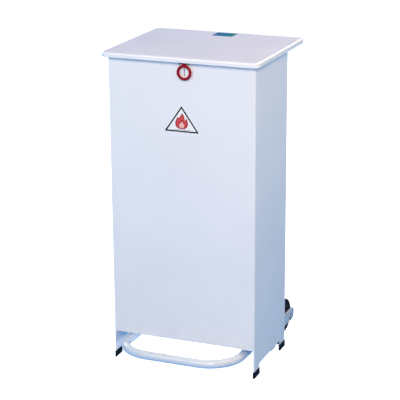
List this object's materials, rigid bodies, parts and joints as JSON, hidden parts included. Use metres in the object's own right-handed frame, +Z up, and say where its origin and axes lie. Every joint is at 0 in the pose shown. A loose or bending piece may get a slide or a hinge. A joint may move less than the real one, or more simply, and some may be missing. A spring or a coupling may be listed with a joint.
{
  "type": "pedal-operated sack bin",
  "caption": "Tall folded-steel hospital sack bin with a pedal-lifted hinged lid, hanging hand ring, capped legs and rear tipping wheels.",
  "frame": {"origin": "on the floor, under the middle of the bin's overall length and width", "axes": "+Z up; the front panel and the pedal face -Y; +X is to the right as seen from the front"},
  "size_m": [0.406, 0.4168, 0.8003],
  "materials": {
    "body_white": "smooth white powder coat on sheet steel",
    "lid_white": "smooth white powder coat on sheet steel",
    "pedal_white": "white powder coat on steel tube, rubbed where shoes press",
    "bracket_grey": "grey painted plate",
    "dark_steel": "black painted plate",
    "bright_steel": "zinc-plated bar",
    "rivet_steel": "blind rivets",
    "spring_steel": "push-on retaining washers",
    "black_plastic": "moulded black plastic",
    "buffer_rubber": "soft black rubber",
    "tyre_rubber": "moulded black rubber",
    "hub_grey": "moulded grey plastic",
    "nylon": "natural nylon",
    "ring_red": "moulded deep red plastic",
    "front_label": "white sticker with a plain black border and a simple red flame shape",
    "lid_label": "plain blue-green colour-code sticker"
  },
  "bodies": {
    "bin_body": {"axle_washers": "spring_steel", "back_panel": "body_white", "back_panel_rivets": "rivet_steel", "body_shell": "body_white", "floor_pan": "body_white", "foot_cap_front_left": "black_plastic", "foot_cap_front_right": "black_plastic", "foot_cap_rear_left": "black_plastic", "foot_cap_rear_right": "black_plastic", "front_label": "front_label", "hinge_bracket_left": "body_white", "hinge_bracket_right": "body_white", "hinge_bracket_rivets": "rivet_steel", "hinge_shaft": "bright_steel", "hinge_shaft_washers": "spring_steel", "pedal_bracket_left": "dark_steel", "pedal_bracket_right": "dark_steel", "pedal_shaft": "bright_steel", "pedal_shaft_washers": "spring_steel", "sack_ring": "bright_steel", "top_frame": "body_white", "wheel_axle": "bright_steel", "wheel_bracket_left": "bracket_grey", "wheel_bracket_right": "bracket_grey", "wheel_bracket_rivets": "rivet_steel"},
    "lid": {"lid_pan": "lid_white", "lid_stiffeners": "lid_white", "lid_buffers": "buffer_rubber", "lid_crank": "bright_steel", "lid_label": "lid_label", "lid_hinge_lug_left": "lid_white", "lid_hinge_lug_right": "lid_white", "ring_hanger": "dark_steel", "ring_pin": "bright_steel"},
    "ring": {"pull_ring": "ring_red"},
    "pedal": {"pedal_tube": "pedal_white", "pedal_bushes": "nylon", "pedal_cross_bar": "pedal_white", "pedal_lever": "pedal_white", "pedal_end_plugs": "black_plastic"},
    "rod": {"lift_rod": "bright_steel", "lift_rod_washers": "spring_steel"},
    "wheel_left": {"wheel_hub_left": "hub_grey", "wheel_tyre_left": "tyre_rubber"},
    "wheel_right": {"wheel_hub_right": "hub_grey", "wheel_tyre_right": "tyre_rubber"}
  },
  "joints": [
    {"name": "lid_hinge", "type": "hinge", "parent": "bin_body", "child": "lid", "pos_m": [0, 0.182, 0.778], "axis": [-1, 0, 0], "range_deg": [0, 72]},
    {"name": "pedal_pivot", "type": "hinge", "parent": "bin_body", "child": "pedal", "pos_m": [0, 0.028, 0.047], "axis": [1, 0, 0], "range_deg": [0, 10.5]},
    {"name": "rod_pivot", "type": "hinge", "parent": "pedal", "child": "rod", "pos_m": [0, 0.14401, 0.04254], "axis": [-1, 0, 0], "range_deg": [0, 10.7]},
    {"name": "ring_swing", "type": "hinge", "parent": "lid", "child": "ring", "pos_m": [0.012, -0.124, 0.786], "axis": [-1, 0, 0], "range_deg": [-2, 75]},
    {"name": "wheel_left_spin", "type": "hinge", "parent": "bin_body", "child": "wheel_left", "pos_m": [-0.166, 0.1635, 0.062], "axis": [1, 0, 0], "continuous": true},
    {"name": "wheel_right_spin", "type": "hinge", "parent": "bin_body", "child": "wheel_right", "pos_m": [0.166, 0.1635, 0.062], "axis": [1, 0, 0], "continuous": true}
  ],
  "couplings": [
    {"joint": "pedal_pivot", "follows": "lid_hinge", "ratio": 0.1458},
    {"joint": "rod_pivot", "follows": "lid_hinge", "ratio": 0.1471}
  ]
}
